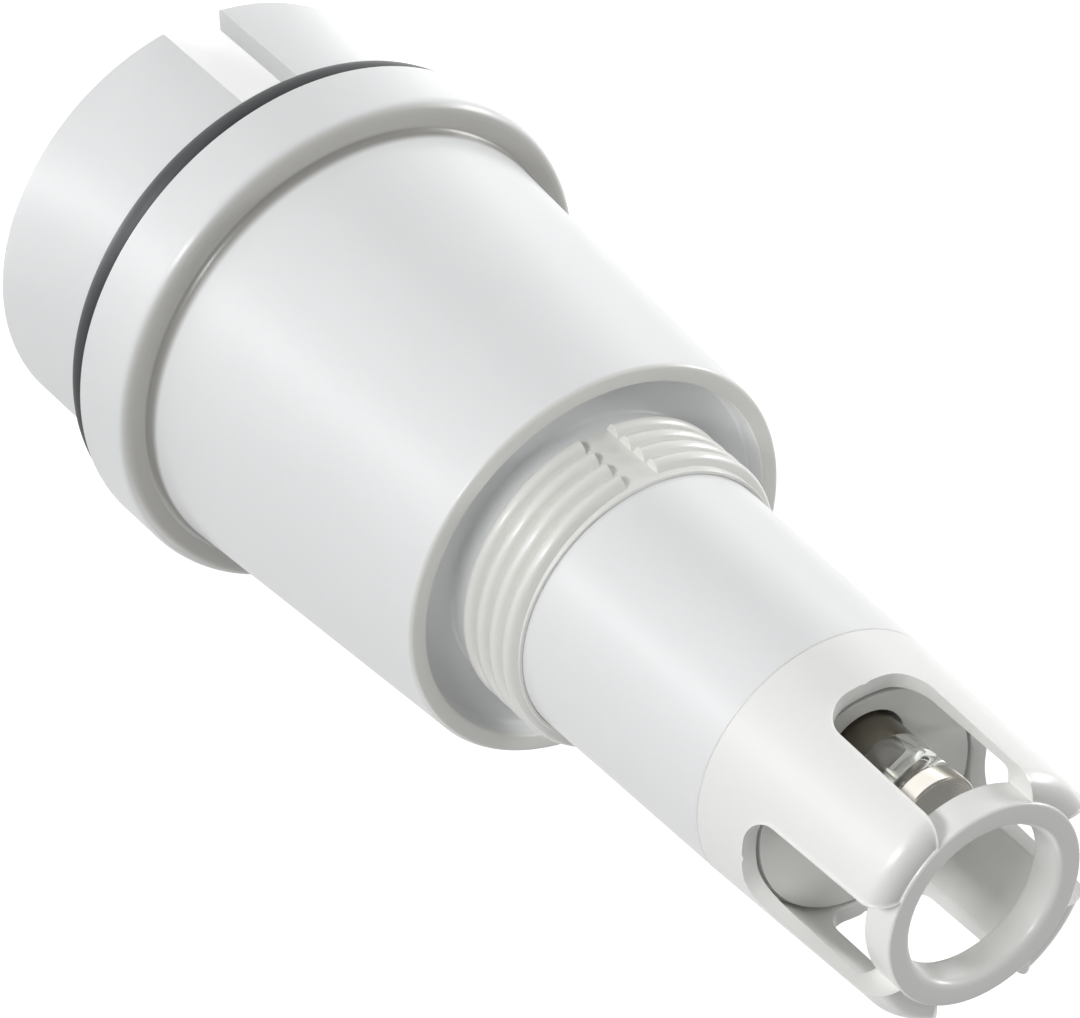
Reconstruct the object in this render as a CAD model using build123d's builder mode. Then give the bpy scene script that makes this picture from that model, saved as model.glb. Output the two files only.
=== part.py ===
"""Redox electrode of a pocket tester, standing on the end of its skirt with the sensing tip up."""
import math
import os

from build123d import *

# Driving dimensions in millimetres. Heights are measured from the skirt end, radii from the axis.
# Radii are built up from the inside out: tube, neck, rim recess, body, flange, skirt and seal.
press_clearance = 0.02
board_clearance = 0.05
edge_chamfer = 0.09

tube_bore_radius = 6.5
tube_wall = 1.2
tube_shoulder_step = 0.755
tube_draft = 0.245
tube_foot_radius = tube_bore_radius + tube_wall
tube_shoulder_radius = tube_foot_radius + tube_shoulder_step
seam_radius = tube_shoulder_radius - tube_draft

neck_wall = 0.225
thread_depth = 0.6
thread_pitch = 1.25
thread_gap_width = 2.2
neck_bore_radius = tube_foot_radius + press_clearance
neck_counterbore_radius = tube_shoulder_radius + press_clearance
neck_radius = neck_counterbore_radius + neck_wall

recess_width = 2.7
rim_wall = 1.1
body_draft = 1.45
rim_bore_radius = neck_radius + recess_width
rim_radius = rim_bore_radius + rim_wall
body_foot_radius = rim_radius + body_draft

flange_step = 1.75
skirt_step = 0.15
skirt_wall = 1.5
ledge_width = 0.9
seal_groove_depth = 0.25
seal_cord_radius = 0.9
flange_radius = body_foot_radius + flange_step
skirt_radius = body_foot_radius - skirt_step
skirt_bore_radius = skirt_radius - skirt_wall
ledge_bore_radius = skirt_bore_radius - ledge_width
seal_groove_radius = skirt_radius - seal_groove_depth

slot_width = 3.9
slot_top = 9.0
groove_margin = 0.4
flange_thickness = 4.5
ledge_rise = 1.8
seal_groove_bottom = slot_top + groove_margin
flange_back = seal_groove_bottom + 2.0 * seal_cord_radius
flange_front = flange_back + flange_thickness
ledge_height = flange_back + ledge_rise

rim_height = 39.8
recess_depth = 1.4
web_thickness = 1.9
neck_height = 5.0
shoulder_depth = 0.8
gasket_thickness = 0.4
recess_floor = rim_height - recess_depth
web_bottom = recess_floor - web_thickness
neck_top = rim_height + neck_height
tube_shoulder = neck_top - shoulder_depth
gasket_bottom = tube_shoulder - gasket_thickness

tube_foot_length = 8.5
tube_length = 15.84
tube_foot = web_bottom - tube_foot_length
seam_height = neck_top + tube_length

clip_groove_depth = 0.5
clip_thickness = 1.2
clip_lip = 1.9
clip_opening = 7.5
clip_groove_radius = tube_foot_radius - clip_groove_depth
clip_radius = tube_foot_radius + clip_lip

socket_step = 0.8
spigot_length = 4.04
throat_step = 0.4
cage_bore_step = 0.1
cage_shoulder_rise = 0.96
spigot_socket_radius = tube_bore_radius + socket_step
cage_spigot_radius = spigot_socket_radius - press_clearance
cage_throat_radius = tube_bore_radius - throat_step
cage_bore_radius = spigot_socket_radius - cage_bore_step
cage_spigot_foot = seam_height - spigot_length
cage_shoulder = seam_height + cage_shoulder_rise

cage_draft = 0.44
cage_length = 14.16
window_width = 6.2
window_corner = 1.9
post_nose = 1.5
cage_tip_radius = seam_radius - cage_draft
post_front = seam_height + cage_length

ring_inset = 1.27
ring_width = 1.65
ring_thickness = 1.8
ring_proud = 0.6
ring_edge = 0.62
ring_outer_radius = cage_tip_radius - ring_inset
ring_inner_radius = ring_outer_radius - ring_width
ring_front = post_front + ring_proud
ring_back = ring_front - ring_thickness

plug_thickness = 3.1
plug_gap_depth = 0.6
plug_gap = 0.26
grommet_thickness = 1.8
window_sill = 0.05
plug_radius = cage_bore_radius - press_clearance
plug_face = cage_shoulder + plug_thickness
grommet_top = cage_shoulder + grommet_thickness
window_back = plug_face + window_sill

stem_radius = 2.4
stem_wall = 0.65
stem_edge_distance = 0.75
stem_hole_gap = 0.22
grommet_wall = 0.7
stem_foot_rise = 1.5
stem_fill_rise = 2.1
stem_bore_radius = stem_radius - stem_wall
stem_offset = tube_bore_radius - stem_edge_distance - stem_radius
stem_hole_radius = stem_radius + stem_hole_gap
grommet_radius = stem_radius + grommet_wall
stem_foot = tube_foot + stem_foot_rise
stem_fill_top = plug_face + stem_fill_rise

platinum_setback = 4.8
platinum_height = 1.3
platinum_wall = 0.25
platinum_proud = 0.05
stem_end_thickness = 1.1
signal_wire_radius = 0.2
platinum_bottom = post_front - platinum_setback
platinum_top = platinum_bottom + platinum_height
platinum_radius = stem_radius + platinum_proud
stem_cavity_top = platinum_bottom - stem_end_thickness

junction_radius = 1.1
junction_edge_distance = 1.7
junction_tail = 1.0
junction_offset = tube_bore_radius - junction_edge_distance - junction_radius
junction_bottom = cage_shoulder - junction_tail

reference_wire_radius = 0.25
reference_edge_distance = 3.5
reference_setback = 4.6
chloride_radius = 0.6
chloride_length = 9.0
chloride_overhang = 1.0
reference_offset = tube_bore_radius - reference_edge_distance
reference_wire_top = cage_spigot_foot - reference_setback
chloride_top = reference_wire_top + chloride_overhang
chloride_bottom = chloride_top - chloride_length

potting_thickness = 3.5
stopper_thickness = 3.0
stopper_bottom = tube_foot + potting_thickness
stopper_top = stopper_bottom + stopper_thickness

board_thickness = 1.6
carrier_height = 4.9
carrier_margin = 3.0
carrier_width = 6.4
carrier_corner = 1.4
contact_pitch = 3.0
contact_radius = 0.5
contact_reach = 3.5
contact_point = 0.3
contact_tail = 0.6
board_bottom = ledge_height - board_thickness
carrier_bottom = board_bottom - carrier_height
contact_tip = carrier_bottom - contact_reach
contact_top = ledge_height + contact_tail

pad_radius = 1.05
joint_radius = 1.2
joint_height = 0.9
joint_spot_x = 6.5
joint_spot_y = 5.0
lead_radius = 0.65

os.makedirs("parts", exist_ok=True)

# Housing: slotted skirt, seal groove, flange, tapered body, rim recess and threaded neck in one moulding
flange_edge = 1.0
flange_root = 0.6
skirt_edge = 0.25
rim_edge = 0.4
rim_inner_edge = 0.2
neck_root = 0.3
cavity_draft = 0.5
thread_overlap = 0.12
thread_root_half = 0.42
thread_crest_half = 0.2
thread_lead_in = 0.9
thread_run_out = 0.55
with BuildPart() as housing:
    with BuildSketch(Plane.XZ) as housing_profile:
        with BuildLine():
            Polyline(
                (skirt_bore_radius, 0.0),
                (skirt_radius, 0.0),
                (skirt_radius, seal_groove_bottom),
                (seal_groove_radius, seal_groove_bottom),
                (seal_groove_radius, flange_back),
                (flange_radius, flange_back),
                (flange_radius, flange_front),
                (body_foot_radius, flange_front),
                (rim_radius, rim_height),
                (rim_bore_radius, rim_height),
                (rim_bore_radius, recess_floor),
                (neck_radius, recess_floor),
                (neck_radius, neck_top),
                (neck_counterbore_radius, neck_top),
                (neck_counterbore_radius, gasket_bottom),
                (neck_bore_radius, gasket_bottom),
                (neck_bore_radius, web_bottom),
                (ledge_bore_radius - cavity_draft, web_bottom),
                (ledge_bore_radius, ledge_height),
                (skirt_bore_radius, ledge_height),
                close=True,
            )
        make_face()
        fillet(housing_profile.vertices().sort_by_distance((flange_radius, flange_front))[0:1], flange_edge)
        fillet(housing_profile.vertices().sort_by_distance((body_foot_radius, flange_front))[0:1], flange_root)
        fillet(housing_profile.vertices().sort_by_distance((rim_radius, rim_height))[0:1], rim_edge)
        fillet(housing_profile.vertices().sort_by_distance((rim_bore_radius, rim_height))[0:1], rim_inner_edge)
        fillet(housing_profile.vertices().sort_by_distance((rim_bore_radius, recess_floor))[0:1], rim_edge)
        fillet(housing_profile.vertices().sort_by_distance((neck_radius, recess_floor))[0:1], neck_root)
        fillet(housing_profile.vertices().sort_by_distance((skirt_radius, 0.0))[0:1], skirt_edge)
    revolve(axis=Axis.Z)
    # The thread is cut away twice, so each turn is two ridges with rounded ends
    thread_foot = recess_floor + thread_lead_in
    thread_height = neck_top - thread_run_out - thread_foot
    with BuildLine() as thread_line:
        thread_path = Helix(pitch=thread_pitch, height=thread_height, radius=neck_radius - thread_overlap,
                            center=(0.0, 0.0, thread_foot))
    thread_plane = Plane(origin=thread_path @ 0, x_dir=(1.0, 0.0, 0.0), z_dir=thread_path % 0)
    ridge_depth = thread_depth + thread_overlap
    with BuildSketch(thread_plane) as thread_section:
        with BuildLine():
            Polyline(
                (0.0, -thread_root_half),
                (ridge_depth, -thread_crest_half),
                (ridge_depth, thread_crest_half),
                (0.0, thread_root_half),
                close=True,
            )
        make_face()
    sweep(sections=thread_section.sketch, path=thread_line.wires()[0], is_frenet=True)
    gap_bottom = recess_floor + neck_root
    gap_depth = thread_depth + 0.4
    gap_spot = neck_radius + gap_depth / 2.0
    with Locations((0.0, -gap_spot, gap_bottom), (0.0, gap_spot, gap_bottom)):
        Box(thread_gap_width, gap_depth, neck_top - gap_bottom, mode=Mode.SUBTRACT,
            align=(Align.CENTER, Align.CENTER, Align.MIN))
    with Locations((0.0, -skirt_bore_radius, 0.0), (0.0, skirt_bore_radius, 0.0)):
        Box(slot_width, 4.0 * skirt_wall, slot_top, mode=Mode.SUBTRACT,
            align=(Align.CENTER, Align.CENTER, Align.MIN))
housing.part.label = "housing"
export_step(housing.part, "parts/housing.step")

# Flange seal: one O-ring lying in the groove against the back of the flange
with BuildPart() as flange_seal:
    with BuildSketch(Plane.XZ):
        with Locations((seal_groove_radius + seal_cord_radius, flange_back - seal_cord_radius)):
            Circle(seal_cord_radius)
    revolve(axis=Axis.Z)
flange_seal.part.label = "flange_seal"
export_step(flange_seal.part, "parts/flange_seal.step")

# Electrode tube: drafted outer tube with a reduced foot that goes through the neck
with BuildPart() as electrode_tube:
    with BuildSketch(Plane.XZ):
        with BuildLine():
            Polyline(
                (tube_bore_radius, tube_foot),
                (tube_foot_radius, tube_foot),
                (tube_foot_radius, web_bottom - clip_thickness),
                (clip_groove_radius, web_bottom - clip_thickness),
                (clip_groove_radius, web_bottom),
                (tube_foot_radius, web_bottom),
                (tube_foot_radius, tube_shoulder),
                (tube_shoulder_radius, tube_shoulder),
                (tube_shoulder_radius, neck_top),
                (seam_radius, seam_height - edge_chamfer),
                (seam_radius - edge_chamfer, seam_height),
                (spigot_socket_radius, seam_height),
                (spigot_socket_radius, cage_spigot_foot),
                (tube_bore_radius, cage_spigot_foot),
                close=True,
            )
        make_face()
    revolve(axis=Axis.Z)
electrode_tube.part.label = "electrode_tube"
export_step(electrode_tube.part, "parts/electrode_tube.step")

# Shoulder gasket: flat ring under the tube shoulder in the neck counterbore
with BuildPart() as shoulder_gasket:
    with BuildSketch(Plane.XY.offset(gasket_bottom)):
        Circle(tube_shoulder_radius)
        Circle(neck_bore_radius, mode=Mode.SUBTRACT)
    extrude(amount=tube_shoulder - gasket_bottom)
shoulder_gasket.part.label = "shoulder_gasket"
export_step(shoulder_gasket.part, "parts/shoulder_gasket.step")

# Retaining clip: open ring in the groove of the tube, bearing on the underside of the web
with BuildPart() as retaining_clip:
    with BuildSketch(Plane.XY.offset(web_bottom - clip_thickness)):
        Circle(clip_radius)
        Circle(clip_groove_radius, mode=Mode.SUBTRACT)
        with Locations((0.0, clip_radius)):
            Rectangle(clip_opening, clip_radius, mode=Mode.SUBTRACT)
    extrude(amount=clip_thickness)
retaining_clip.part.label = "retaining_clip"
export_step(retaining_clip.part, "parts/retaining_clip.step")

# Guard cage: four posts with four windows, curling in to a round end ring
web_overlap = 0.9
window_reach = 1.5 * seam_radius
window_top = ring_front + post_nose
with BuildPart() as guard_cage:
    with BuildSketch(Plane.XZ) as cage_profile:
        with BuildLine():
            Polyline(
                (cage_throat_radius, cage_spigot_foot),
                (cage_spigot_radius, cage_spigot_foot),
                (cage_spigot_radius, seam_height),
                (seam_radius - edge_chamfer, seam_height),
                (seam_radius, seam_height + edge_chamfer),
                (cage_tip_radius, post_front),
                (ring_inner_radius + web_overlap, post_front),
                (ring_inner_radius + web_overlap, ring_back),
                (cage_bore_radius, ring_back),
                (cage_bore_radius, cage_shoulder),
                (cage_throat_radius, cage_shoulder),
                close=True,
            )
        make_face()
        fillet(cage_profile.vertices().sort_by_distance((cage_tip_radius, post_front))[0:1], post_nose)
    revolve(axis=Axis.Z)
    for quarter in range(4):
        window_plane = Plane(origin=(0.0, 0.0, 0.0), x_dir=(math.cos(math.radians(90.0 * quarter)),
                                                            math.sin(math.radians(90.0 * quarter)), 0.0),
                             z_dir=(math.sin(math.radians(90.0 * quarter)),
                                    -math.cos(math.radians(90.0 * quarter)), 0.0))
        with BuildSketch(window_plane) as window_outline:
            with Locations((0.0, (window_back + window_top) / 2.0)):
                Rectangle(window_width, window_top - window_back)
            fillet(window_outline.vertices().group_by(Axis.Y)[0], window_corner)
        extrude(amount=window_reach, mode=Mode.SUBTRACT)
    with BuildSketch(Plane.XZ) as ring_profile:
        with Locations(((ring_inner_radius + ring_outer_radius) / 2.0, (ring_back + ring_front) / 2.0)):
            RectangleRounded(ring_width, ring_thickness, ring_edge)
    revolve(axis=Axis.Z)
guard_cage.part.label = "guard_cage"
export_step(guard_cage.part, "parts/guard_cage.step")

# End plug: disc on the cage shoulder that carries the glass stem and the reference junction
with BuildPart() as end_plug:
    with BuildSketch(Plane.XZ):
        with BuildLine():
            Polyline(
                (0.0, cage_shoulder),
                (plug_radius, cage_shoulder),
                (plug_radius, plug_face - plug_gap_depth),
                (plug_radius - plug_gap, plug_face - plug_gap_depth),
                (plug_radius - plug_gap, plug_face),
                (0.0, plug_face),
                close=True,
            )
        make_face()
    revolve(axis=Axis.Z)
    with BuildSketch(Plane.XY.offset(cage_shoulder)):
        with Locations((0.0, -stem_offset)):
            Circle(stem_hole_radius)
        with Locations((0.0, junction_offset)):
            Circle(junction_radius)
    extrude(amount=plug_face - cage_shoulder, mode=Mode.SUBTRACT)
    with BuildSketch(Plane.XY.offset(cage_shoulder)):
        with Locations((0.0, -stem_offset)):
            Circle(grommet_radius)
    extrude(amount=grommet_top - cage_shoulder, mode=Mode.SUBTRACT)
end_plug.part.label = "end_plug"
export_step(end_plug.part, "parts/end_plug.step")

# Stem grommet: soft ring that seals the glass stem in the plug
with BuildPart() as stem_grommet:
    with BuildSketch(Plane.XY.offset(cage_shoulder)):
        with Locations((0.0, -stem_offset)):
            Circle(grommet_radius)
            Circle(stem_radius, mode=Mode.SUBTRACT)
    extrude(amount=grommet_top - cage_shoulder)
stem_grommet.part.label = "stem_grommet"
export_step(stem_grommet.part, "parts/stem_grommet.step")

# Glass stem: clear tube closed at the tip, with a stepped end for the platinum cap
stem_dome = 1.2
cap_seat_radius = platinum_radius - platinum_wall
cap_inner_top = platinum_top - platinum_wall
with BuildPart() as glass_stem:
    with BuildSketch(Plane.XZ.offset(stem_offset)) as stem_profile:
        with BuildLine():
            Polyline(
                (stem_bore_radius, stem_foot),
                (stem_radius, stem_foot),
                (stem_radius, platinum_bottom),
                (cap_seat_radius, platinum_bottom),
                (cap_seat_radius, cap_inner_top),
                (signal_wire_radius, cap_inner_top),
                (signal_wire_radius, stem_cavity_top),
                (stem_bore_radius, stem_cavity_top),
                close=True,
            )
        make_face()
        fillet(stem_profile.vertices().sort_by_distance((stem_bore_radius, stem_cavity_top))[0:1], stem_dome)
    revolve(axis=Axis((0.0, -stem_offset, 0.0), (0.0, 0.0, 1.0)))
glass_stem.part.label = "glass_stem"
export_step(glass_stem.part, "parts/glass_stem.step")

# Platinum cap: the sensing surface, a thin cup over the closed end of the stem
cap_edge = 0.2
with BuildPart() as platinum_cap:
    with BuildSketch(Plane.XZ.offset(stem_offset)) as cap_profile:
        with BuildLine():
            Polyline(
                (0.0, cap_inner_top),
                (cap_seat_radius, cap_inner_top),
                (cap_seat_radius, platinum_bottom),
                (platinum_radius, platinum_bottom),
                (platinum_radius, platinum_top),
                (0.0, platinum_top),
                close=True,
            )
        make_face()
        fillet(cap_profile.vertices().sort_by_distance((platinum_radius, platinum_top))[0:1], cap_edge)
    revolve(axis=Axis((0.0, -stem_offset, 0.0), (0.0, 0.0, 1.0)))
platinum_cap.part.label = "platinum_cap"
export_step(platinum_cap.part, "parts/platinum_cap.step")

# Signal wire: from the platinum cap down the stem and out of the potting
with BuildPart() as signal_wire:
    with BuildSketch(Plane.XY.offset(tube_foot)):
        with Locations((0.0, -stem_offset)):
            Circle(signal_wire_radius)
    extrude(amount=cap_inner_top - tube_foot)
signal_wire.part.label = "signal_wire"
export_step(signal_wire.part, "parts/signal_wire.step")

# Stem fill: dark sealing compound around the wire in the stem
with BuildPart() as stem_fill:
    with BuildSketch(Plane.XY.offset(stem_foot)):
        with Locations((0.0, -stem_offset)):
            Circle(stem_bore_radius)
            Circle(signal_wire_radius, mode=Mode.SUBTRACT)
    extrude(amount=stem_fill_top - stem_foot)
stem_fill.part.label = "stem_fill"
export_step(stem_fill.part, "parts/stem_fill.step")

# Reference junction: porous ceramic pin through the end plug
with BuildPart() as reference_junction:
    with BuildSketch(Plane.XY.offset(junction_bottom)):
        with Locations((0.0, junction_offset)):
            Circle(junction_radius)
    extrude(amount=plug_face - junction_bottom)
reference_junction.part.label = "reference_junction"
export_step(reference_junction.part, "parts/reference_junction.step")

# Reference wire: silver wire that ends in the chloride coat
with BuildPart() as reference_wire:
    with BuildSketch(Plane.XY.offset(tube_foot)):
        with Locations((0.0, reference_offset)):
            Circle(reference_wire_radius)
    extrude(amount=reference_wire_top - tube_foot)
reference_wire.part.label = "reference_wire"
export_step(reference_wire.part, "parts/reference_wire.step")

# Chloride coat: silver chloride sleeve over the end of the reference wire
with BuildPart() as chloride_coat:
    with Locations((0.0, reference_offset, chloride_bottom)):
        Cylinder(chloride_radius, chloride_top - chloride_bottom, align=(Align.CENTER, Align.CENTER, Align.MIN))
        Cylinder(reference_wire_radius, reference_wire_top - chloride_bottom,
                 align=(Align.CENTER, Align.CENTER, Align.MIN), mode=Mode.SUBTRACT)
chloride_coat.part.label = "chloride_coat"
export_step(chloride_coat.part, "parts/chloride_coat.step")

# Reference gel: electrolyte that fills the tube between the stopper and the end plug
with BuildPart() as reference_gel:
    with BuildSketch(Plane.XY.offset(stopper_top)):
        Circle(tube_bore_radius)
    extrude(amount=cage_spigot_foot - stopper_top)
    with BuildSketch(Plane.XY.offset(cage_spigot_foot)):
        Circle(cage_throat_radius)
    extrude(amount=cage_shoulder - cage_spigot_foot)
    with BuildSketch(Plane.XY.offset(stopper_top)):
        with Locations((0.0, -stem_offset)):
            Circle(stem_radius)
    extrude(amount=cage_shoulder - stopper_top, mode=Mode.SUBTRACT)
    with Locations((0.0, reference_offset, stopper_top)):
        Cylinder(reference_wire_radius, chloride_bottom - stopper_top,
                 align=(Align.CENTER, Align.CENTER, Align.MIN), mode=Mode.SUBTRACT)
    with Locations((0.0, reference_offset, chloride_bottom)):
        Cylinder(chloride_radius, chloride_top - chloride_bottom,
                 align=(Align.CENTER, Align.CENTER, Align.MIN), mode=Mode.SUBTRACT)
    with Locations((0.0, junction_offset, junction_bottom)):
        Cylinder(junction_radius, cage_shoulder - junction_bottom,
                 align=(Align.CENTER, Align.CENTER, Align.MIN), mode=Mode.SUBTRACT)
reference_gel.part.label = "reference_gel"
export_step(reference_gel.part, "parts/reference_gel.step")

# Stopper: soft disc that closes the foot of the gel chamber
with BuildPart() as chamber_stopper:
    with BuildSketch(Plane.XY.offset(stopper_bottom)):
        Circle(tube_bore_radius)
        with Locations((0.0, -stem_offset)):
            Circle(stem_radius, mode=Mode.SUBTRACT)
        with Locations((0.0, reference_offset)):
            Circle(reference_wire_radius, mode=Mode.SUBTRACT)
    extrude(amount=stopper_top - stopper_bottom)
chamber_stopper.part.label = "chamber_stopper"
export_step(chamber_stopper.part, "parts/chamber_stopper.step")

# Potting: epoxy under the stopper, round the foot of the stem and both wires
with BuildPart() as tube_potting:
    with BuildSketch(Plane.XY.offset(tube_foot)):
        Circle(tube_bore_radius)
        with Locations((0.0, -stem_offset)):
            Circle(signal_wire_radius, mode=Mode.SUBTRACT)
        with Locations((0.0, reference_offset)):
            Circle(reference_wire_radius, mode=Mode.SUBTRACT)
    extrude(amount=stopper_bottom - tube_foot)
    with BuildSketch(Plane.XY.offset(stem_foot)):
        with Locations((0.0, -stem_offset)):
            Circle(stem_radius)
    extrude(amount=stopper_bottom - stem_foot, mode=Mode.SUBTRACT)
tube_potting.part.label = "tube_potting"
export_step(tube_potting.part, "parts/tube_potting.step")

# Contact board: round board pushed up against the ledge in the housing
contact_spots = [((slot - 1.5) * contact_pitch, 0.0) for slot in range(4)]
with BuildPart() as contact_board:
    with BuildSketch(Plane.XY.offset(board_bottom)):
        Circle(skirt_bore_radius - board_clearance)
        with Locations(*contact_spots):
            Circle(contact_radius, mode=Mode.SUBTRACT)
    extrude(amount=board_thickness)
contact_board.part.label = "contact_board"
export_step(contact_board.part, "parts/contact_board.step")

# Contact carrier: moulded block that holds the contacts straight under the board
carrier_length = 3.0 * contact_pitch + 2.0 * carrier_margin
with BuildPart() as contact_carrier:
    with BuildSketch(Plane.XY.offset(carrier_bottom)):
        RectangleRounded(carrier_length, carrier_width, carrier_corner)
        with Locations(*contact_spots):
            Circle(contact_radius, mode=Mode.SUBTRACT)
    extrude(amount=board_bottom - carrier_bottom)
contact_carrier.part.label = "contact_carrier"
export_step(contact_carrier.part, "parts/contact_carrier.step")

# Contact pins: four equal gilt pins through carrier and board
with BuildPart() as contact_pins:
    with BuildSketch(Plane.XY.offset(contact_tip + contact_point)):
        with Locations(*contact_spots):
            Circle(contact_radius)
    extrude(amount=contact_top - contact_tip - contact_point)
    with BuildSketch(Plane.XY.offset(contact_tip + contact_point)):
        with Locations(*contact_spots):
            Circle(contact_radius)
    extrude(amount=-contact_point, taper=40.0)
contact_pins.part.label = "contact_pins"
export_step(contact_pins.part, "parts/contact_pins.step")

# Solder joints: four round the pins and two for the leads, on top of the board
signal_joint = (-joint_spot_x, -joint_spot_y)
reference_joint = (joint_spot_x, joint_spot_y)
with BuildPart() as solder_joints:
    with BuildSketch(Plane.XY.offset(ledge_height)):
        with Locations(*contact_spots):
            Circle(pad_radius)
    extrude(amount=contact_tail, taper=25.0)
    with BuildSketch(Plane.XY.offset(ledge_height)):
        with Locations(*contact_spots):
            Circle(contact_radius)
    extrude(amount=contact_tail, mode=Mode.SUBTRACT)
    with BuildSketch(Plane.XY.offset(ledge_height)):
        with Locations(signal_joint, reference_joint):
            Circle(joint_radius)
    extrude(amount=joint_height, taper=25.0)
solder_joints.part.label = "solder_joints"
export_step(solder_joints.part, "parts/solder_joints.step")

# Signal lead: insulated wire from the foot of the potting to its joint on the board
lead_end = ledge_height + joint_height
lead_middle = (tube_foot + lead_end) / 2.0
with BuildPart() as signal_lead:
    with BuildLine() as signal_route:
        Spline(
            (0.0, -stem_offset, tube_foot),
            (signal_joint[0] / 2.0, (signal_joint[1] - stem_offset) / 2.0, lead_middle),
            (signal_joint[0], signal_joint[1], lead_end),
            tangents=((0.0, 0.0, -1.0), (0.0, 0.0, -1.0)),
        )
    with BuildSketch(Plane(origin=(0.0, -stem_offset, tube_foot), z_dir=(0.0, 0.0, -1.0))):
        Circle(lead_radius)
    sweep(path=signal_route.wires()[0])
signal_lead.part.label = "signal_lead"
export_step(signal_lead.part, "parts/signal_lead.step")

# Reference lead: the same wire on the reference side
with BuildPart() as reference_lead:
    with BuildLine() as reference_route:
        Spline(
            (0.0, reference_offset, tube_foot),
            (reference_joint[0] / 2.0, (reference_joint[1] + reference_offset) / 2.0, lead_middle),
            (reference_joint[0], reference_joint[1], lead_end),
            tangents=((0.0, 0.0, -1.0), (0.0, 0.0, -1.0)),
        )
    with BuildSketch(Plane(origin=(0.0, reference_offset, tube_foot), z_dir=(0.0, 0.0, -1.0))):
        Circle(lead_radius)
    sweep(path=reference_route.wires()[0])
reference_lead.part.label = "reference_lead"
export_step(reference_lead.part, "parts/reference_lead.step")
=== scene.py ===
"""Dressed model of a redox electrode that stands on the end of its skirt, tip up."""
import math

import bmesh
import bpy
from mathutils import Matrix, Vector


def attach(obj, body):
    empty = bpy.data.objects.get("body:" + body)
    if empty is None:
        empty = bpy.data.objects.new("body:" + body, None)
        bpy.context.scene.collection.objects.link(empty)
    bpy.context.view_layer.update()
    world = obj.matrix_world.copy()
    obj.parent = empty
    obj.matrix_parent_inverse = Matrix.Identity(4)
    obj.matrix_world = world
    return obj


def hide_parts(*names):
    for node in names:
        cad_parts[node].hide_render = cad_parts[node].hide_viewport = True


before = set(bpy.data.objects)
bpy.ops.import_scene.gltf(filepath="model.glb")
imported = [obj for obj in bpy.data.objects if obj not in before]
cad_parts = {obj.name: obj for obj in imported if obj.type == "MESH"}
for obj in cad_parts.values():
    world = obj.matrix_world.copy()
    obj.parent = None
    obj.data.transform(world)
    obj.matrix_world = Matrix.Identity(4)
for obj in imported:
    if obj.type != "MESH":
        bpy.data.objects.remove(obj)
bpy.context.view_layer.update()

# Camera: a long lens from above the front window, rolled so that the tip points down to the right.
# Place, angles and lens come from fitting the rim, flange and tube ellipses of the photograph.
MM = 0.001
camera_place = Vector((216.99, -318.19, 356.45)) * MM
camera_angles = [math.radians(angle) for angle in (-38.4281, -35.0132, 178.4262)]
camera_lens = bpy.data.cameras.new("view_camera")
camera_lens.lens = 300.0
camera_lens.sensor_width = 36.0
camera_lens.clip_start = 0.01
camera_lens.clip_end = 20.0
camera = bpy.data.objects.new("view_camera", camera_lens)
camera.location = camera_place
camera.rotation_euler = camera_angles
bpy.context.scene.collection.objects.link(camera)
bpy.context.scene.camera = camera
bpy.context.scene.view_settings.view_transform = "Standard"


class Wire:
    """One output of a material's node. Sums on it add their Math nodes."""

    def __init__(self, socket):
        self.socket = socket

    def node(self, kind, settings=None, inputs=None, output=0):
        tree = self.socket.id_data
        added = tree.nodes.new(kind)
        for key, value in (settings or {}).items():
            if key == "stops":
                ramp = added.color_ramp
                while len(ramp.elements) < len(value):
                    ramp.elements.new(0.5)
                for stop, (place, colour) in zip(ramp.elements, value):
                    stop.position = place
                    stop.color = colour
            else:
                setattr(added, key, value)
        for key, value in (inputs or {}).items():
            if isinstance(value, Wire):
                tree.links.new(value.socket, added.inputs[key])
            else:
                added.inputs[key].default_value = value
        return Wire(added.outputs[output])

    def sum(self, operation, first, second):
        return self.node("ShaderNodeMath", {"operation": operation}, {0: first, 1: second})

    def __add__(self, other):
        return self.sum("ADD", self, other)

    def __radd__(self, other):
        return self.sum("ADD", other, self)

    def __sub__(self, other):
        return self.sum("SUBTRACT", self, other)

    def __rsub__(self, other):
        return self.sum("SUBTRACT", other, self)

    def __mul__(self, other):
        return self.sum("MULTIPLY", self, other)

    def __rmul__(self, other):
        return self.sum("MULTIPLY", other, self)


def into(source, shader, name):
    """Leads a wire into one input of a shader."""
    shader.id_data.links.new(source.socket, shader.inputs[name])


# Studio: a plain pale table and long soft lamps set low round the part, so that its sides are
# bright and the faces towards the tip are darker. Gloss rays see two bright streaks on the table,
# because lamps above it give the upright sides no sheen.
white = (1.0, 1.0, 1.0, 1.0)
table_white = (0.86, 0.86, 0.86, 1.0)
table_half = 6.0
table_drop = 0.05
table_glow_strength = 0.80
streak_strength = 3.2
streak_levels = (
    (0.012, 0.30), (0.081, 0.58), (0.170, 0.27), (0.345, 0.27), (0.375, 0.45), (0.406, 1.0),
    (0.440, 0.35), (0.500, 0.12), (0.750, 0.12), (0.950, 0.27))
table_mesh = bpy.data.meshes.new("table")
table_form = bmesh.new()
bmesh.ops.create_grid(table_form, x_segments=2, y_segments=2, size=table_half)
bmesh.ops.translate(table_form, verts=table_form.verts, vec=(0.0, 0.0, -table_drop * MM))
table_form.to_mesh(table_mesh)
table_form.free()
table = bpy.data.objects.new("table", table_mesh)
bpy.context.scene.collection.objects.link(table)
table_finish = bpy.data.materials.new("table_white")
table_finish.use_nodes = True
table_tree = table_finish.node_tree
table_tree.nodes.clear()
table_rays = table_tree.nodes.new("ShaderNodeLightPath")
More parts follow.
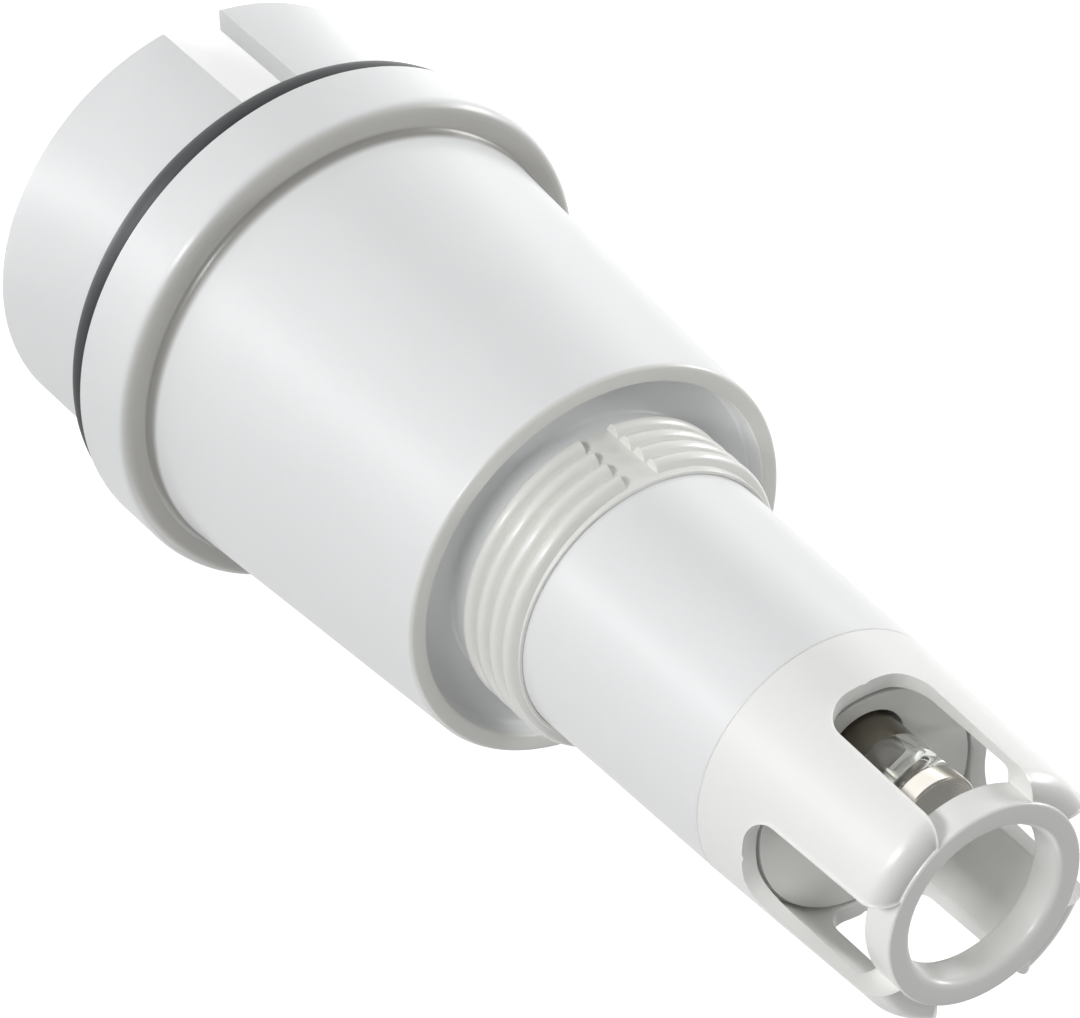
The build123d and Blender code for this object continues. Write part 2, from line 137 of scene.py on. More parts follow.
gloss_ray = Wire(table_rays.outputs["Is Glossy Ray"])
seen = gloss_ray.sum("MAXIMUM", gloss_ray, Wire(table_rays.outputs["Is Camera Ray"]))
seen = seen.sum("MAXIMUM", seen, Wire(table_rays.outputs["Is Transmission Ray"]))
table_place = Wire(table_tree.nodes.new("ShaderNodeTexCoord").outputs["Object"])
bearing = table_place.node("ShaderNodeTexGradient", {"gradient_type": "RADIAL"},
                           {"Vector": table_place}, output=1)
streak_stops = [(turn, (level, level, level, 1.0)) for turn, level in streak_levels]
streaks = bearing.node("ShaderNodeValToRGB", {"stops": streak_stops}, {"Fac": bearing})
table_strength = gloss_ray * (streaks * streak_strength - table_glow_strength) + table_glow_strength
table_paint = seen.node("ShaderNodeBsdfDiffuse", inputs={"Color": table_white})
table_glow = seen.node("ShaderNodeEmission", inputs={"Color": white, "Strength": table_strength})
table_bright = seen.node("ShaderNodeAddShader", inputs={0: table_paint, 1: table_glow})
table_shown = seen.node("ShaderNodeMixShader", inputs={0: seen, 1: table_paint, 2: table_bright})
table_end = table_tree.nodes.new("ShaderNodeOutputMaterial")
into(table_shown, table_end, "Surface")
table_mesh.materials.append(table_finish)

sky = bpy.data.worlds.new("studio")
sky.use_nodes = True
bpy.context.scene.world = sky
sky_tree = sky.node_tree
sky_tree.nodes.clear()
sky_rays = sky_tree.nodes.new("ShaderNodeLightPath")
sky_seen = Wire(sky_rays.outputs["Is Camera Ray"])
sky_seen = sky_seen.sum("MAXIMUM", sky_seen, Wire(sky_rays.outputs["Is Transmission Ray"]))
sky_fill = 0.27
sky_light = sky_seen * (1.0 - sky_fill) + sky_fill
sky_glow = sky_seen.node("ShaderNodeBackground", inputs={"Color": white, "Strength": sky_light})
sky_end = sky_tree.nodes.new("ShaderNodeOutputWorld")
into(sky_glow, sky_end, "Surface")

camera_turn = math.degrees(math.atan2(camera_place.y, camera_place.x))
aim = Vector((0.0, 0.0, 38.0)) * MM
# Each lamp: its turn from the camera and its rise in degrees, its reach and sides in metres, watts.
for lamp_name, turn, rise, reach, width, height, power in (
    ("key_lamp", 16.0, 7.0, 0.62, 0.10, 0.42, 2.6),
    ("side_lamp", -116.0, 7.0, 0.60, 0.12, 0.42, 2.7),
    ("back_lamp", 135.0, 18.0, 0.72, 0.40, 0.40, 1.1),
):
    lamp_data = bpy.data.lights.new(lamp_name, "AREA")
    lamp_data.shape = "RECTANGLE"
    lamp_data.size = width
    lamp_data.size_y = height
    lamp_data.energy = power
    lamp = bpy.data.objects.new(lamp_name, lamp_data)
    around = math.radians(camera_turn + turn)
    up = math.radians(rise)
    away = Vector((math.cos(around) * math.cos(up), math.sin(around) * math.cos(up), math.sin(up)))
    lamp.location = aim + away * reach
    lamp.rotation_euler = away.to_track_quat("Z", "Y").to_euler()
    bpy.context.scene.collection.objects.link(lamp)


# Housing: one injection-moulded body in white gloss plastic, with slotted skirt, seal groove,
# flange, tapered body, rim recess and neck. Turned from its section, then the slots are cut.
SHARP = math.radians(33.0)
ROUND_STEPS = 240


def turned(form, corners, steps=ROUND_STEPS, centre=(0.0, 0.0), segments=4):
    """Turns a closed section of (radius, height, rounding) in millimetres about an upright axis."""
    axis = Vector((centre[0], centre[1], 0.0)) * MM
    points = [form.verts.new(axis + Vector((radius, 0.0, height)) * MM) for radius, height, _ in corners]
    for index, point in enumerate(points):
        form.edges.new((points[index - 1], point))
    outline = set(points)
    for rounding in sorted({corner[2] for corner in corners if corner[2] > 0.0}):
        chosen = [point for point, corner in zip(points, corners) if corner[2] == rounding]
        rounded = bmesh.ops.bevel(form, geom=chosen, offset=rounding * MM, offset_type="OFFSET",
                                  affect="VERTICES", segments=segments, profile=0.5, material=-1)
        outline -= set(chosen)
        outline |= set(rounded["verts"])
    section = [vert for vert in outline if vert.is_valid]
    edges = list({edge for vert in section for edge in vert.link_edges})
    before = set(form.verts) - set(section)
    bmesh.ops.spin(form, geom=section + edges, axis=(0.0, 0.0, 1.0), cent=axis, angle=2.0 * math.pi,
                   steps=steps, use_merge=True, use_duplicate=False)
    turned_verts = [vert for vert in form.verts if vert not in before]
    bmesh.ops.remove_doubles(form, verts=turned_verts, dist=0.0005 * MM)


def finished(form, name, finish, nodes):
    """Makes the form a piece: normals recalculated, smooth with its sharp edges kept, one finish."""
    bmesh.ops.recalc_face_normals(form, faces=form.faces)
    for face in form.faces:
        face.smooth = True
    for edge in form.edges:
        edge.smooth = len(edge.link_faces) == 2 and edge.calc_face_angle(0.0) < SHARP
    mesh = bpy.data.meshes.new(name)
    form.to_mesh(mesh)
    form.free()
    mesh.materials.append(finish)
    piece = bpy.data.objects.new(name, mesh)
    bpy.context.scene.collection.objects.link(piece)
    shading = piece.modifiers.new("even_shading", "WEIGHTED_NORMAL")
    shading.keep_sharp = True
    shading.weight = 50
    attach(piece, "root")
    if nodes:
        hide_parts(*nodes)


def new_finish(name, metallic=0.0):
    """A material with one shader, and the place on the object in metres."""
    finish = bpy.data.materials.new(name)
    finish.use_nodes = True
    tree = finish.node_tree
    tree.nodes.clear()
    shader = tree.nodes.new("ShaderNodeBsdfPrincipled")
    shader.inputs["Metallic"].default_value = metallic
    end = tree.nodes.new("ShaderNodeOutputMaterial")
    tree.links.new(shader.outputs[0], end.inputs["Surface"])
    place = Wire(tree.nodes.new("ShaderNodeTexCoord").outputs["Object"])
    return finish, shader, place


def noise(place, size, detail=3.0, rough=0.5):
    """Noise with features of about that size in millimetres, from 0 to 1."""
    return place.node("ShaderNodeTexNoise", inputs={
        "Vector": place, "Scale": 1.0 / (size * MM), "Detail": detail, "Roughness": rough})


def between(mask, low, high):
    """A number that goes from low to high as the mask goes from 0 to 1."""
    return mask * (high - low) + low


def blended(mask, first, second):
    """The first colour where the mask is 0, the second where it is 1."""
    first, second = (colour if isinstance(colour, Wire) else (*colour, 1.0) for colour in (first, second))
    return mask.node("ShaderNodeMix", {"data_type": "RGBA"}, {0: mask, 6: first, 7: second}, output=2)


def bumped(shader, height, depth):
    """Leads a height from 0 to 1, of that depth in millimetres, into the shader's normal."""
    into(height.node("ShaderNodeBump", inputs={"Height": height, "Distance": depth * MM}), shader, "Normal")


def eased(value, start, end, low=0.0, high=1.0):
    """Goes softly from low to high as the value goes from start to end."""
    return value.node("ShaderNodeMapRange", {"interpolation_type": "SMOOTHSTEP"},
                      {"Value": value, "From Min": start, "From Max": end, "To Min": low, "To Max": high})


def band(place, start, full, hold, end):
    """A mask that is 1 between two heights in millimetres and fades out beyond them."""
    height = place.node("ShaderNodeSeparateXYZ", inputs={"Vector": place}, output=2)
    return eased(height, start * MM, full * MM) * eased(height, hold * MM, end * MM, 1.0, 0.0)


def moulded(name, light, shade, gloss, peel, scuffs, bands=()):
    """Moulded plastic: two close tones in clouds, orange peel, scuffs, and painted shade in bands of height.
    """
    finish, shader, place = new_finish(name)
    cloud = noise(place, size=14.0, detail=2.0)
    speck = noise(place, size=0.55, detail=2.0)
    streak = place.node("ShaderNodeMapping", inputs={"Vector": place, "Scale": (1.0, 1.0, 0.22)})
    scuff = eased(noise(streak, size=2.6, detail=6.0, rough=0.62), 0.60, 0.76, 0.0, scuffs)
    tone = cloud * 0.85 + speck * 0.15
    tone = tone.node("ShaderNodeMapRange", inputs={"Value": tone, "From Min": 0.3, "From Max": 0.7})
    colour = blended(tone, light, shade)
    # Each band is painted shade: a darker colour between two heights.
    for start, full, hold, end, tint in bands:
        colour = blended(band(place, start, full, hold, end), colour, tint)
    into(colour, shader, "Base Color")
    into(between(speck, gloss - 0.03, gloss + 0.03) + scuff, shader, "Roughness")
    shader.inputs["IOR"].default_value = 1.5
    shader.inputs["Coat Roughness"].default_value = 0.12
    into(between(cloud, 0.10, 0.22), shader, "Coat Weight")
    bumped(shader, noise(place, size=0.9, detail=2.0) + scuff * 0.4, peel)
    return finish


skirt_radius = 13.8
skirt_bore = 12.3
slot_half = 1.95
slot_top = 9.0
groove_back = 9.4
groove_radius = 13.55
flange_back = 11.2
flange_front = 15.7
flange_radius = 15.7
body_radius = 13.95
rim_radius = 12.5
rim_height = 39.8
recess_radius = 11.4
recess_floor = 38.4
neck_radius = 8.7
neck_top = 44.8
seat_radius = 8.475
seat_height = 43.6
web_under = 36.5
web_bore = 7.72
inside_top_radius = 10.9
inside_foot_radius = 11.4
ledge_height = 13.0
# Painted shade, where shade falls: the flange front is darker, its root darker still, and the recess and neck
# a little darker.
painted_shade_bands = (
    (flange_front - 0.5, flange_front - 0.02, flange_front + 0.04, flange_front + 1.0, (0.57, 0.565, 0.54)),
    (flange_front - 0.01, flange_front + 0.10, flange_front + 0.25, flange_front + 1.0, (0.30, 0.295, 0.28)),
    (rim_height - 0.3, rim_height - 0.05, neck_top + 0.2, neck_top + 1.2, (0.84, 0.84, 0.81)))
housing_finish = moulded("housing_white", light=(0.86, 0.87, 0.875), shade=(0.83, 0.84, 0.845),
                         gloss=0.34, peel=0.006, scuffs=0.10, bands=painted_shade_bands)

housing_form = bmesh.new()
turned(housing_form, (
    (skirt_bore, 0.0, 0.15), (skirt_radius, 0.0, 0.25), (skirt_radius, slot_top, 0.0),
    (skirt_radius, groove_back, 0.06), (groove_radius, groove_back, 0.0),
    (groove_radius, flange_back, 0.0), (flange_radius, flange_back, 0.25),
    (flange_radius, flange_front, 0.75), (body_radius, flange_front, 0.4),
    (rim_radius, rim_height, 0.26), (recess_radius, rim_height, 0.14),
    (recess_radius, recess_floor, 0.28), (neck_radius, recess_floor, 0.25),
    (neck_radius, neck_top, 0.07), (seat_radius, neck_top, 0.05), (seat_radius, seat_height, 0.0),
    (web_bore, seat_height, 0.0), (web_bore, web_under, 0.0), (inside_top_radius, web_under, 0.0),
    (inside_foot_radius, ledge_height, 0.0), (skirt_bore, ledge_height, 0.0), (skirt_bore, slot_top, 0.0)))
for side in (-1.0, 1.0):
    skirt_faces = [face for face in housing_form.faces
                   if max(vert.co.z for vert in face.verts) < (slot_top + 0.001) * MM]
    skirt_geometry = list({part for face in skirt_faces for part in list(face.verts) + list(face.edges)})
    bmesh.ops.bisect_plane(housing_form, geom=skirt_geometry + skirt_faces, dist=0.001 * MM,
                           plane_co=(side * slot_half * MM, 0.0, 0.0), plane_no=(1.0, 0.0, 0.0))
slot_faces = []
for face in housing_form.faces:
    middle = face.calc_center_median()
    if abs(middle.x) < slot_half * MM and middle.z < slot_top * MM:
        slot_faces.append(face)
bmesh.ops.delete(housing_form, context="FACES", geom=slot_faces)
for side in (-1.0, 1.0):
    slot_roof = [edge for edge in housing_form.edges if edge.is_boundary and all(
        abs(vert.co.z - slot_top * MM) < 0.002 * MM and vert.co.y * side > 0.0 for vert in edge.verts)]
    bmesh.ops.bridge_loops(housing_form, edges=slot_roof)
slot_sides = [edge for edge in housing_form.edges if edge.is_boundary]
bmesh.ops.holes_fill(housing_form, edges=slot_sides, sides=0)
finished(housing_form, "housing_body", housing_finish, ["housing"])


# Neck thread: low rounded ridges of the same moulding, a right-handed thread for a protective cap
# with two gaps in each turn, where the mould halves part. It stands on the neck of the housing.
thread_foot = 39.5
thread_pitch = 1.25
thread_crest = 9.3
thread_root = 8.62
thread_limit = 44.77
ridge_half_foot = 0.57
ridge_half_crest = 0.30
ridge_rounding = 0.29
ridge_count = 8
ridge_steps = 60
gap_half_width = 1.1
gap_radius = 9.0
gap_half = math.degrees(math.asin(gap_half_width / gap_radius))
ridge_span = 180.0 - 2.0 * gap_half
ridge_climb = thread_pitch * ridge_span / 360.0
thread_form = bmesh.new()
for half_turn in range(ridge_count):
    ridge_turn = 90.0 + gap_half + 180.0 * half_turn
    middle = thread_foot + thread_pitch * half_turn / 2.0
    section = [thread_form.verts.new((radius * MM, 0.0, (middle + rise) * MM)) for radius, rise in (
        (thread_root, -ridge_half_foot), (thread_crest, -ridge_half_crest),
        (thread_crest, ridge_half_crest), (thread_root, ridge_half_foot))]
    thread_form.faces.new(section)
    bmesh.ops.bevel(thread_form, geom=section[1:3], offset=ridge_rounding * MM, offset_type="OFFSET",
                    affect="VERTICES", segments=5, profile=0.5, material=-1)
    ridge_end = [face for face in thread_form.faces if not any(edge.is_manifold for edge in face.edges)][-1]
    bmesh.ops.rotate(thread_form, verts=ridge_end.verts, cent=(0.0, 0.0, 0.0),
                     matrix=Matrix.Rotation(math.radians(ridge_turn), 3, "Z"))
    bmesh.ops.spin(thread_form, geom=list(ridge_end.verts) + list(ridge_end.edges) + [ridge_end],
                   axis=(0.0, 0.0, 1.0), cent=(0.0, 0.0, 0.0),
                   dvec=(0.0, 0.0, ridge_climb / ridge_steps * MM), angle=math.radians(ridge_span),
                   steps=ridge_steps, use_merge=False, use_duplicate=False)
for vert in thread_form.verts:
    vert.co.z = min(vert.co.z, thread_limit * MM)
finished(thread_form, "neck_thread", housing_finish, [])


# Flange seal: a moulded black rubber O-ring of round section, with a faint bloom. It is stretched
# over the skirt into the shallow groove behind the flange, and most of it stands out.
seal_cord_radius = 0.9
seal_ring_radius = 14.45
seal_height = 10.3
seal_finish, seal_shader, seal_place = new_finish("seal_black")
seal_bloom = noise(seal_place, size=3.0, detail=4.0)
into(blended(seal_bloom, (0.030, 0.032, 0.034), (0.062, 0.065, 0.068)), seal_shader, "Base Color")
into(between(seal_bloom, 0.38, 0.55), seal_shader, "Roughness")
bumped(seal_shader, noise(seal_place, size=0.35, detail=2.0), 0.006)
seal_form = bmesh.new()
bmesh.ops.create_circle(seal_form, segments=28, radius=seal_cord_radius * MM, cap_ends=False)
bmesh.ops.rotate(seal_form, verts=seal_form.verts, cent=(0.0, 0.0, 0.0),
                 matrix=Matrix.Rotation(math.pi / 2.0, 3, "X"))
bmesh.ops.translate(seal_form, verts=seal_form.verts, vec=Vector((seal_ring_radius, 0.0, seal_height)) * MM)
bmesh.ops.spin(seal_form, geom=list(seal_form.verts) + list(seal_form.edges), axis=(0.0, 0.0, 1.0),
               cent=(0.0, 0.0, 0.0), angle=2.0 * math.pi, steps=ROUND_STEPS, use_merge=True,
               use_duplicate=False)
finished(seal_form, "seal_ring", seal_finish, ["flange_seal"])


# Electrode tube: a drafted tube in white gloss plastic, pushed up through the neck against its
# shoulder and held by a clip. Its front edge has a fine chamfer, which shows as the seam.
tube_bore = 6.5
tube_foot = 28.0
tube_foot_radius = 7.7
clip_groove_back = 35.3
clip_groove_radius = 7.2
shoulder_height = 44.0
shoulder_radius = 8.455
seam_height = 60.64
seam_radius = 8.21
socket_radius = 7.3
socket_floor = 56.6
tube_finish = moulded("tube_white", light=(0.865, 0.872, 0.878), shade=(0.835, 0.843, 0.848),
                      gloss=0.30, peel=0.005, scuffs=0.08)
tube_form = bmesh.new()
turned(tube_form, (
    (tube_bore, tube_foot, 0.0), (tube_foot_radius, tube_foot, 0.15),
    (tube_foot_radius, clip_groove_back, 0.0), (clip_groove_radius, clip_groove_back, 0.0),
    (clip_groove_radius, web_under, 0.0), (tube_foot_radius, web_under, 0.0),
    (tube_foot_radius, shoulder_height, 0.0), (shoulder_radius, shoulder_height, 0.0),
    (shoulder_radius, neck_top, 0.0), (seam_radius, seam_height, 0.09), (socket_radius, seam_height, 0.0),
    (socket_radius, socket_floor, 0.0), (tube_bore, socket_floor, 0.0)), segments=2)
finished(tube_form, "probe_tube", tube_finish, ["electrode_tube"])


# Guard cage: a white plastic cap with four windows between four posts, whose noses curl in to a
# round end ring. Moulded in one piece and welded to the tube, so only a fine seam shows.
guard_finish = moulded("guard_white", light=(0.91, 0.91, 0.892), shade=(0.885, 0.887, 0.866),
                       gloss=0.33, peel=0.006, scuffs=0.10)
post_front = 74.8
tip_radius = 7.77
nose_front = 75.22
nose_radius = tip_radius + 0.04
nose_rounding = 1.2
inner_rounding = 0.35
web_radius = 5.9
web_back = 73.1
bore = 7.2
bore_foot = 61.6
spigot_bore = 6.1
spigot_radius = 7.28
spigot_shoulder = 61.0
spigot_top = 61.55
seam_chamfer_radius = 8.12
seam_bore = 6.3
ring_bore = 4.85
ring_radius = 6.38
ring_front = 75.4
window_half = 3.1
window_back = 64.75
window_corner = 1.9
window_rounding = 0.16
band_foot = seam_height + 0.12
corner_centre = window_half - window_corner
corner_top = window_back + window_corner
ROWS_WEB = 3
ROWS_NOSE = 8
ROWS_SIDE = 12
ROWS_CORNER = 14
ROWS_SILL = 4
ROWS_DROP = 8
ROWS = ROWS_WEB + ROWS_NOSE + ROWS_SIDE + ROWS_CORNER + ROWS_SILL
COLUMNS = 10


def outer_radius(height):
    """The cone of the cage."""
    return seam_radius - (seam_radius - tip_radius) * (height - seam_height) / (post_front - seam_height)


def post_line(row, outside):
    """Radius and height along a post, from the web under the ring, round the nose, down the side."""
    front, edge, rounding = web_back, bore, inner_rounding
    if outside:
        front, edge, rounding = nose_front, nose_radius, nose_rounding
    side_top = front - rounding
    if row <= ROWS_WEB:
        return web_radius + (edge - rounding - web_radius) * row / ROWS_WEB, front
    if row <= ROWS_WEB + ROWS_NOSE:
        turn = math.pi / 2.0 * (row - ROWS_WEB) / ROWS_NOSE
        return edge - rounding + rounding * math.sin(turn), side_top + rounding * math.cos(turn)
    share = (row - ROWS_WEB - ROWS_NOSE) / ROWS_SIDE
    height = side_top + (corner_top - side_top) * share
    return (outer_radius(height) if outside else bore), height


def cage_point(row, share, outside):
    """One point of the cage wall, from the window's edge (share 0) to the middle of a post (1)."""
    side_rows = ROWS_WEB + ROWS_NOSE + ROWS_SIDE
    if row <= side_rows:
        radius, height = post_line(row, outside)
        start = math.asin(window_half / radius)
        turn = start + (math.pi / 4.0 - start) * share
    else:
        foot = band_foot if outside else bore_foot
        step = row - side_rows
        if row <= side_rows + ROWS_CORNER:
            bend = math.pi / 2.0 * (row - side_rows) / ROWS_CORNER
            across = corner_centre + window_corner * math.cos(bend)
            height = corner_top - window_corner * math.sin(bend)
        else:
            across = corner_centre * (1.0 - (row - side_rows - ROWS_CORNER) / ROWS_SILL)
            height = window_back
        border_height = corner_top + (foot - corner_top) * min(1.0, step / ROWS_DROP)
        past_drop = max(0.0, step - ROWS_DROP) / (ROWS_CORNER + ROWS_SILL - ROWS_DROP)
        border_turn = math.pi / 4.0 * (1.0 - past_drop)
        inner_turn = math.asin(across / (outer_radius(height) if outside else bore))
        height = height + (border_height - height) * share
        turn = inner_turn + (border_turn - inner_turn) * share
        radius = outer_radius(height) if outside else bore
    return Vector((radius * math.sin(turn), -radius * math.cos(turn), height)) * MM


def edges_among(verts):
    """The edges whose two ends are both among these points."""
    chosen = set(verts)
    return list({edge for vert in chosen for edge in vert.link_edges if edge.other_vert(vert) in chosen})


cage_form = bmesh.new()
window_edges = []
for outside in (True, False):
    window_verts = []
    sheet = bmesh.ops.create_grid(cage_form, x_segments=COLUMNS, y_segments=ROWS, size=1.0)
    for vert in sheet["verts"]:
        share = (vert.co.x + 1.0) / 2.0
        row = round((vert.co.y + 1.0) / 2.0 * ROWS, 4)
        if share < 0.0001:
            window_verts.append(vert)
        vert.co = cage_point(row, share, outside)
    window_edges += edges_among(window_verts)
bmesh.ops.bridge_loops(cage_form, edges=window_edges)
bmesh.ops.bevel(cage_form, geom=window_edges, offset=window_rounding * MM, offset_type="OFFSET",
                affect="EDGES", segments=3, profile=0.5, material=-1, clamp_overlap=True)
half = list(cage_form.verts) + list(cage_form.edges) + list(cage_form.faces)
bmesh.ops.mirror(cage_form, geom=half, matrix=Matrix.Identity(4), merge_dist=0.002 * MM, axis="X")
quarter = list(cage_form.verts) + list(cage_form.edges) + list(cage_form.faces)
bmesh.ops.spin(cage_form, geom=quarter, axis=(0.0, 0.0, 1.0), cent=(0.0, 0.0, 0.0),
               angle=2.0 * math.pi, steps=4, use_merge=False, use_duplicate=True)
bmesh.ops.remove_doubles(cage_form, verts=cage_form.verts, dist=0.003 * MM)
foot_rims = []
for foot, targets in ((band_foot, ((seam_chamfer_radius, seam_height), (seam_bore, seam_height))),
                      (bore_foot, ((spigot_bore, bore_foot),))):
    rims = [edge for edge in cage_form.edges if edge.is_boundary
            and all(abs(vert.co.z - foot * MM) < 0.01 * MM for vert in edge.verts)]
    for radius, height in targets:
        grown = bmesh.ops.extrude_edge_only(cage_form, edges=rims)["geom"]
        rims = [part for part in grown if isinstance(part, bmesh.types.BMEdge)]
        for vert in [part for part in grown if isinstance(part, bmesh.types.BMVert)]:
            flat = Vector((vert.co.x, vert.co.y, 0.0)).normalized() * radius * MM
            vert.co = Vector((flat.x, flat.y, height * MM))
    foot_rims += rims
bmesh.ops.bridge_loops(cage_form, edges=foot_rims)
post_ends = [edge for edge in cage_form.edges if edge.is_boundary]
bmesh.ops.holes_fill(cage_form, edges=post_ends, sides=0)
turned(cage_form, (
    (spigot_bore, socket_floor, 0.0), (spigot_radius, socket_floor, 0.2),
    (spigot_radius, spigot_shoulder, 0.0), (spigot_bore, spigot_top, 0.0)), segments=3)
turned(cage_form, (
    (ring_bore, web_back, 0.4), (ring_radius, web_back, 0.3), (ring_radius, ring_front, 0.18),
    (ring_bore, ring_front, 0.5)), segments=6)
# The recalculation of normals leaves about half of the faces of the posts turned inwards.
finished(cage_form, "cage_guard", guard_finish, ["guard_cage"])


# Glass stem: a clear drawn tube, closed and flame-polished at the tip, sealed in the end plug.
# The platinum cap is fused over its end.
STEM_STEPS = 96
stem_y = -3.35
stem_foot = 29.5
glass_bore = 1.75
glass_radius = 2.4
glass_end = 71.04
dome_height = 68.9
step_radius = 2.2
step_height = 70.0
glass_finish, glass_shader, glass_place = new_finish("clear_glass")
glass_shader.inputs["Transmission Weight"].default_value = 1.0
glass_shader.inputs["IOR"].default_value = 1.47
glass_tint = noise(glass_place, size=4.0, detail=1.0)
into(blended(glass_tint, (0.97, 0.98, 0.965), (0.93, 0.945, 0.92)), glass_shader, "Base Color")
glass_shader.inputs["Roughness"].default_value = 0.0
glass_form = bmesh.new()
turned(glass_form, (
    (0.0, glass_end, 0.0), (0.0, dome_height, 0.0), (glass_bore, dome_height, 1.1),
    (glass_bore, stem_foot, 0.0), (glass_radius, stem_foot, 0.2), (glass_radius, step_height, 0.1),
    (step_radius, step_height, 0.0), (step_radius, glass_end, 0.1)),
       steps=STEM_STEPS, centre=(0.0, stem_y), segments=6)
finished(glass_form, "stem_glass", glass_finish, ["glass_stem"])


# Platinum cap: the sensing surface, a thin cup of bright platinum fused over the end of the stem.
# It is drawn from sheet, so it has fine rings on its end, and is a little dulled by handling.
cap_finish, cap_shader, cap_place = new_finish("platinum", metallic=1.0)
cap_cloud = noise(cap_place, size=1.6, detail=4.0)
cap_offset = cap_place.node("ShaderNodeMapping", inputs={
    "Vector": cap_place, "Location": (0.0, -stem_y * MM, 0.0)})
cap_rings = cap_offset.node("ShaderNodeTexWave", {"wave_type": "RINGS", "rings_direction": "Z"},
                            {"Vector": cap_offset, "Scale": 2200.0, "Distortion": 1.5, "Detail": 2.0})
into(blended(cap_cloud, (0.80, 0.78, 0.73), (0.66, 0.63, 0.56)), cap_shader, "Base Color")
into(between(cap_cloud, 0.16, 0.34), cap_shader, "Roughness")
bumped(cap_shader, cap_rings * 0.4 + cap_cloud, 0.004)
cap_inside = 2.19
cap_floor = 71.03
cap_radius = 2.45
cap_end = 71.3
cap_form = bmesh.new()
turned(cap_form, (
    (0.0, cap_end, 0.0), (0.0, cap_floor, 0.0), (cap_inside, cap_floor, 0.0),
    (cap_inside, step_height, 0.0), (cap_radius, step_height, 0.06), (cap_radius, cap_end, 0.2)),
       steps=STEM_STEPS, centre=(0.0, stem_y))
finished(cap_form, "sensing_cap", cap_finish, ["platinum_cap"])


# Stem fill: dark brown sealing compound poured round the wire in the lower part of the stem. Its
# top has crept a little way up the glass.
fill_finish, fill_shader, fill_place = new_finish("fill_brown")
fill_cloud = noise(fill_place, size=1.2, detail=4.0)
into(blended(fill_cloud, (0.105, 0.090, 0.064), (0.135, 0.115, 0.082)), fill_shader, "Base Color")
into(between(fill_cloud, 0.25, 0.5), fill_shader, "Roughness")
bumped(fill_shader, fill_cloud, 0.002)
fill_radius = glass_bore + 0.01
fill_foot = stem_foot + 0.1
fill_top = 66.0
fill_creep = 66.45
meniscus_radius = 1.55
level_radius = 0.9
fill_form = bmesh.new()
turned(fill_form, (
    (0.0, fill_top, 0.0), (0.0, fill_foot, 0.0), (fill_radius, fill_foot, 0.0),
    (fill_radius, fill_creep, 0.05), (meniscus_radius, fill_top + 0.15, 0.15), (level_radius, fill_top, 0.2)),
       steps=72, centre=(0.0, stem_y), segments=3)
finished(fill_form, "stem_core", fill_finish, ["stem_fill"])


# Stem grommet: a soft dark ring pressed into the end plug round the glass stem.
# Its rounded lip shows in the hole of the plug.
grommet_finish, grommet_shader, grommet_place = new_finish("grommet_brown")
grommet_cloud = noise(grommet_place, size=0.7, detail=3.0)
into(blended(grommet_cloud, (0.05, 0.04, 0.025), (0.09, 0.072, 0.048)), grommet_shader, "Base Color")
into(between(grommet_cloud, 0.5, 0.75), grommet_shader, "Roughness")
bumped(grommet_shader, grommet_cloud, 0.02)
grommet_bore = glass_radius + 0.01
grommet_radius = 3.09
grommet_top = 63.39
grommet_form = bmesh.new()
turned(grommet_form, (
    (grommet_bore, bore_foot, 0.0), (grommet_radius, bore_foot, 0.0),
    (grommet_radius, grommet_top, 0.0), (grommet_bore, grommet_top, 0.12)),
       steps=STEM_STEPS, centre=(0.0, stem_y), segments=3)
finished(grommet_form, "stem_seal", grommet_finish, ["stem_grommet"])


# End plug, reference junction and the other inner and electrical pieces keep their CAD solids.
# Each gets the finish of its own stuff: moulded, ceramic, rubber, resin, metal, laminate or cable.
def kept(node, finish):
    """Gives a CAD node its finish."""
    for material_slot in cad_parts[node].material_slots:
        material_slot.material = finish


def clouded(name, dark, light, rough, grain, depth, metallic=0.0):
    """Two shades in grains of that size in millimetres, with uneven gloss and a bump of that depth."""
    finish, shader, place = new_finish(name, metallic)
    cloud = noise(place, size=grain, detail=4.0, rough=0.6)
    into(blended(cloud, dark, light), shader, "Base Color")
    into(between(cloud, rough[0], rough[1]), shader, "Roughness")
    bumped(shader, cloud, depth)
    return finish


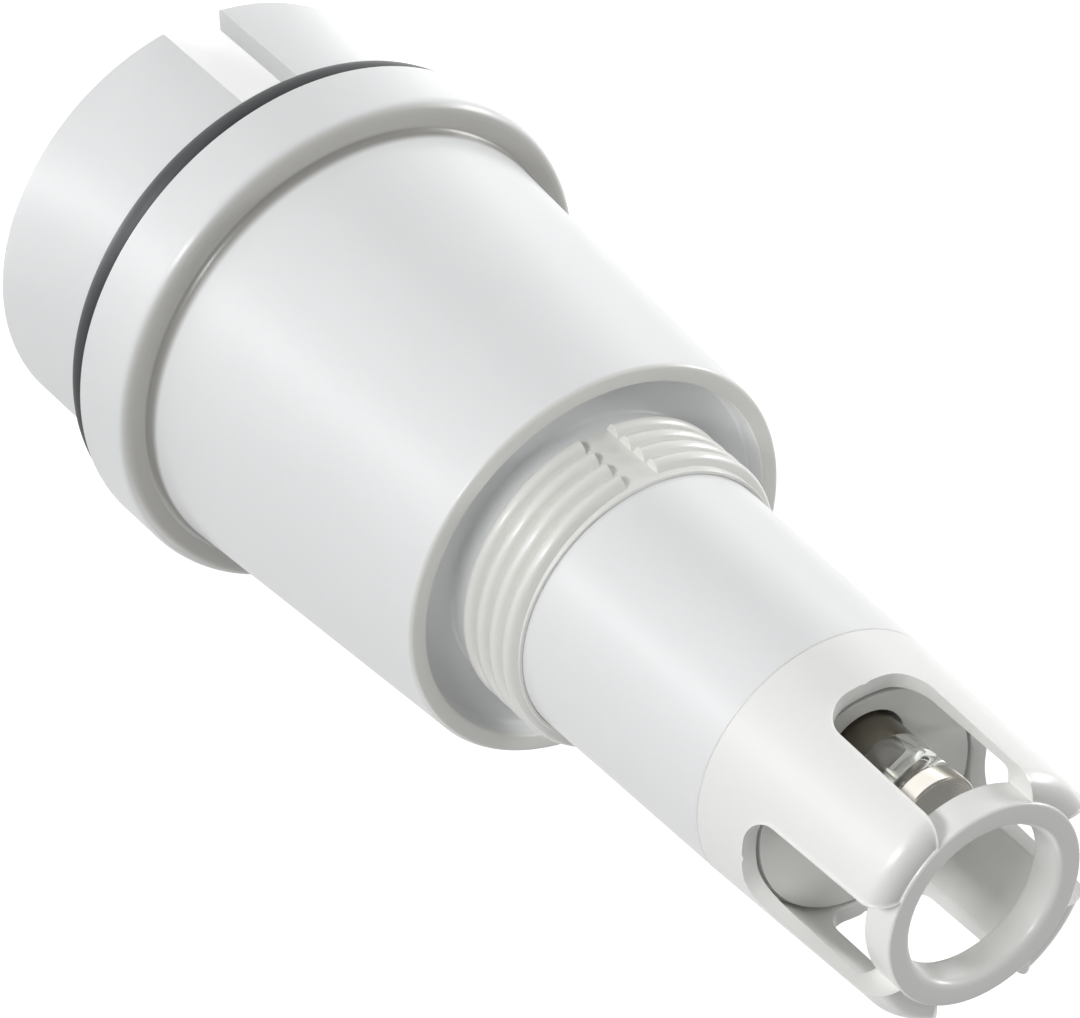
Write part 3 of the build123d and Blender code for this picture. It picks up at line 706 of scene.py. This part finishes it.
kept("end_plug", moulded("plug_grey", light=(0.83, 0.83, 0.81), shade=(0.79, 0.79, 0.77),
                         gloss=0.42, peel=0.012, scuffs=0.12))
for node, name, dark, light, rough, grain, depth, metallic in (
    ("reference_junction", "junction_ceramic", (0.74, 0.73, 0.70), (0.86, 0.85, 0.82),
     (0.75, 0.95), 0.12, 0.02, 0.0),
    ("shoulder_gasket", "gasket_grey", (0.10, 0.10, 0.10), (0.16, 0.16, 0.16), (0.6, 0.8), 0.4, 0.02, 0.0),
    ("retaining_clip", "clip_steel", (0.48, 0.48, 0.49), (0.62, 0.62, 0.63), (0.25, 0.42), 0.6, 0.01, 1.0),
    ("signal_wire", "platinum_wire", (0.70, 0.68, 0.64), (0.82, 0.80, 0.76), (0.15, 0.3), 0.3, 0.004, 1.0),
    ("reference_wire", "silver_wire", (0.70, 0.70, 0.68), (0.86, 0.86, 0.84), (0.15, 0.3), 0.3, 0.004, 1.0),
    ("chloride_coat", "chloride_grey", (0.20, 0.18, 0.21), (0.34, 0.32, 0.35), (0.7, 0.9), 0.2, 0.03, 0.0),
    ("reference_gel", "gel_clear", (0.55, 0.56, 0.50), (0.66, 0.67, 0.60), (0.1, 0.25), 3.0, 0.03, 0.0),
    ("chamber_stopper", "stopper_grey", (0.18, 0.18, 0.18), (0.26, 0.26, 0.26), (0.6, 0.8), 0.5, 0.02, 0.0),
    ("tube_potting", "potting_black", (0.02, 0.02, 0.02), (0.05, 0.05, 0.05), (0.15, 0.4), 2.0, 0.05, 0.0),
    ("contact_carrier", "carrier_black", (0.025, 0.025, 0.027), (0.05, 0.05, 0.052),
     (0.4, 0.6), 0.3, 0.01, 0.0),
    ("contact_pins", "contact_gilt", (0.72, 0.52, 0.22), (0.86, 0.68, 0.34), (0.12, 0.28), 0.5, 0.003, 1.0),
    ("solder_joints", "solder", (0.50, 0.50, 0.51), (0.68, 0.68, 0.68), (0.2, 0.45), 0.4, 0.03, 1.0),
    ("signal_lead", "lead_red", (0.34, 0.022, 0.018), (0.46, 0.035, 0.03), (0.35, 0.5), 0.8, 0.01, 0.0),
    ("reference_lead", "lead_blue", (0.02, 0.06, 0.26), (0.03, 0.09, 0.36), (0.35, 0.5), 0.8, 0.01, 0.0),
):
    kept(node, clouded(name, dark, light, rough, grain, depth, metallic))

board_finish, board_shader, board_place = new_finish("board_green")
board_tone = noise(board_place, size=6.0) * 0.6
for direction in ("X", "Y"):
    board_tone = board_tone + board_place.node(
        "ShaderNodeTexWave", {"bands_direction": direction},
        {"Vector": board_place, "Scale": 420.0, "Distortion": 0.4}) * 0.2
into(blended(board_tone, (0.012, 0.075, 0.03), (0.03, 0.16, 0.065)), board_shader, "Base Color")
into(between(board_tone, 0.22, 0.38), board_shader, "Roughness")
bumped(board_shader, board_tone, 0.012)
kept("contact_board", board_finish)
